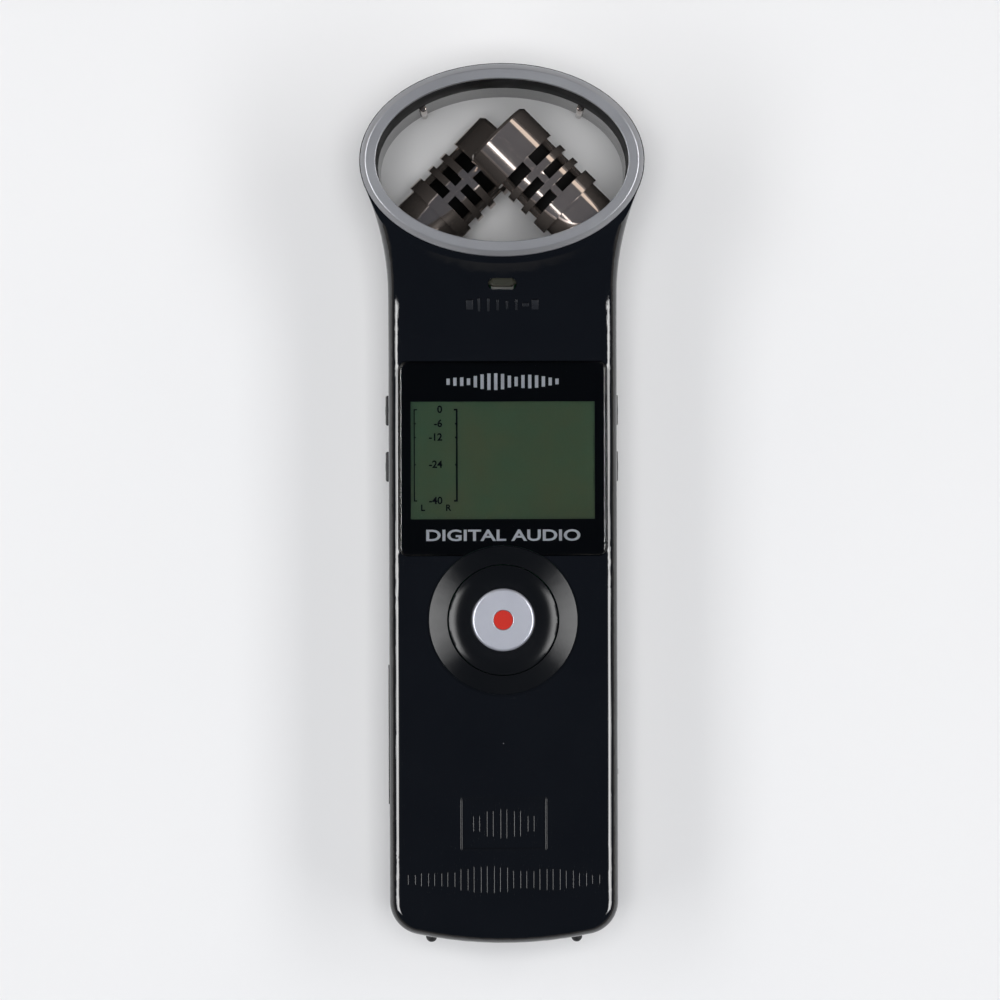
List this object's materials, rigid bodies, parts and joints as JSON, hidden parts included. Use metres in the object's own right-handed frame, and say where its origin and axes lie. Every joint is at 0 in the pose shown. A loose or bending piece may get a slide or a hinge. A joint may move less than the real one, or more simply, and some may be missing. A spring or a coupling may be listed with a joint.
{
  "type": "portable field recorder",
  "caption": "Handheld stereo recorder with two crossed microphone barrels inside an oval head opening, a display window and a round record button.",
  "frame": {"origin": "middle of the overall box on the plane its rear rests on", "axes": "+X across to the right, +Y towards the microphones, +Z out of the front"},
  "size_m": [0.044, 0.137, 0.031],
  "materials": {
    "shell_black": "gloss, blue-black moulded",
    "ring_silver": "satin chrome plating",
    "mic_nickel": "dark nickel plating",
    "capsule_dark": "matt",
    "foam_dark": "open foam",
    "window_clear": "clear acrylic",
    "mask_black": "printed black",
    "lcd_glass": "unlit liquid crystal",
    "diffuser_white": "diffuser",
    "frame_dark": "matt",
    "cap_silver": "turned, satin",
    "dot_red": "gloss",
    "lens_smoke": "smoked clear",
    "key_black": "gloss",
    "switch_metal": "stamped",
    "socket_metal": "nickel plated",
    "socket_black": "matt",
    "card_black": "matt",
    "board_green": "solder resist",
    "chip_black": "matt",
    "rubber_black": "soft",
    "cell_wrap": "printed wrap",
    "spring_steel": "nickel plated",
    "brass_bush": "turned",
    "cone_paper": "coated",
    "cloth_black": "acoustic cloth",
    "screw_steel": "black zinc",
    "plate_grey": "blank label",
    "wire_red": "insulation"
  },
  "bodies": {
    "housing": {"front_shell": "shell_black", "rear_shell": "shell_black", "head_ring": "ring_silver", "upper_mic_body": "mic_nickel", "lower_mic_body": "mic_nickel", "upper_mic_capsule": "capsule_dark", "lower_mic_capsule": "capsule_dark", "mic_foam": "foam_dark", "mic_bushings": "rubber_black", "mic_leads": "wire_red", "display_window": "window_clear", "window_mask": "mask_black", "lcd_panel": "lcd_glass", "lcd_backlight": "diffuser_white", "lcd_frame": "frame_dark", "lcd_connector_strips": "rubber_black", "record_ring": "shell_black", "record_switch": "switch_metal", "peak_lamp_lens": "lens_smoke", "peak_lamp": "diffuser_white", "side_key_switches": "switch_metal", "power_switch": "switch_metal", "card_door_pin": "spring_steel", "card_socket": "socket_metal", "memory_card": "card_black", "main_board": "board_green", "board_chips": "chip_black", "battery_cell": "cell_wrap", "battery_plus_contact": "spring_steel", "battery_spring": "spring_steel", "tripod_bush": "brass_bush", "speaker": "cone_paper", "speaker_cloth": "cloth_black", "rear_slide_switches": "switch_metal", "rating_plate": "plate_grey", "housing_screws": "screw_steel", "phones_jack": "socket_black", "line_in_jack": "socket_black", "usb_socket": "socket_metal", "end_feet": "rubber_black"},
    "record_key": {"record_button": "key_black", "record_cap": "cap_silver", "record_dot": "dot_red"},
    "volume_up_key_body": {"volume_up_key": "key_black"},
    "volume_down_key_body": {"volume_down_key": "key_black"},
    "level_up_key_body": {"level_up_key": "key_black"},
    "level_down_key_body": {"level_down_key": "key_black"},
    "back_key_body": {"back_key": "key_black"},
    "play_key_body": {"play_key": "key_black"},
    "skip_key_body": {"skip_key": "key_black"},
    "erase_key_body": {"erase_key": "key_black"},
    "power_knob": {"power_slider": "key_black"},
    "low_cut_knob": {"low_cut_slider": "key_black"},
    "auto_level_knob": {"auto_level_slider": "key_black"},
    "format_knob": {"format_slider": "key_black"},
    "battery_hatch": {"battery_door": "shell_black"},
    "card_hatch": {"card_door": "shell_black"}
  },
  "joints": [
    {"name": "record_press", "type": "slide", "parent": "housing", "child": "record_key", "axis": [0, 0, -1], "range_m": [0, 0.0004], "stiffness_N_per_m": 400},
    {"name": "volume_up_press", "type": "slide", "parent": "housing", "child": "volume_up_key_body", "axis": [1, 0, 0], "range_m": [0, 0.00025], "stiffness_N_per_m": 400},
    {"name": "volume_down_press", "type": "slide", "parent": "housing", "child": "volume_down_key_body", "axis": [1, 0, 0], "range_m": [0, 0.00025], "stiffness_N_per_m": 400},
    {"name": "level_up_press", "type": "slide", "parent": "housing", "child": "level_up_key_body", "axis": [-1, 0, 0], "range_m": [0, 0.00025], "stiffness_N_per_m": 400},
    {"name": "level_down_press", "type": "slide", "parent": "housing", "child": "level_down_key_body", "axis": [-1, 0, 0], "range_m": [0, 0.00025], "stiffness_N_per_m": 400},
    {"name": "back_press", "type": "slide", "parent": "housing", "child": "back_key_body", "axis": [-1, 0, 0], "range_m": [0, 0.00025], "stiffness_N_per_m": 400},
    {"name": "play_press", "type": "slide", "parent": "housing", "child": "play_key_body", "axis": [-1, 0, 0], "range_m": [0, 0.00025], "stiffness_N_per_m": 400},
    {"name": "skip_press", "type": "slide", "parent": "housing", "child": "skip_key_body", "axis": [-1, 0, 0], "range_m": [0, 0.00025], "stiffness_N_per_m": 400},
    {"name": "erase_press", "type": "slide", "parent": "housing", "child": "erase_key_body", "axis": [-1, 0, 0], "range_m": [0, 0.00025], "stiffness_N_per_m": 400},
    {"name": "power_slide", "type": "slide", "parent": "housing", "child": "power_knob", "axis": [0, 1, 0], "range_m": [0, 0.003]},
    {"name": "low_cut_slide", "type": "slide", "parent": "housing", "child": "low_cut_knob", "axis": [1, 0, 0], "range_m": [0, 0.002]},
    {"name": "auto_level_slide", "type": "slide", "parent": "housing", "child": "auto_level_knob", "axis": [1, 0, 0], "range_m": [0, 0.002]},
    {"name": "format_slide", "type": "slide", "parent": "housing", "child": "format_knob", "axis": [1, 0, 0], "range_m": [0, 0.002]},
    {"name": "battery_door_slide", "type": "slide", "parent": "housing", "child": "battery_hatch", "axis": [0, -1, 0], "range_m": [0, 0.012]},
    {"name": "card_door_hinge", "type": "hinge", "parent": "housing", "child": "card_hatch", "pos_m": [-0.01745, -0.03535, 0.0173], "axis": [0, -1, 0], "range_deg": [0, 100]}
  ]
}
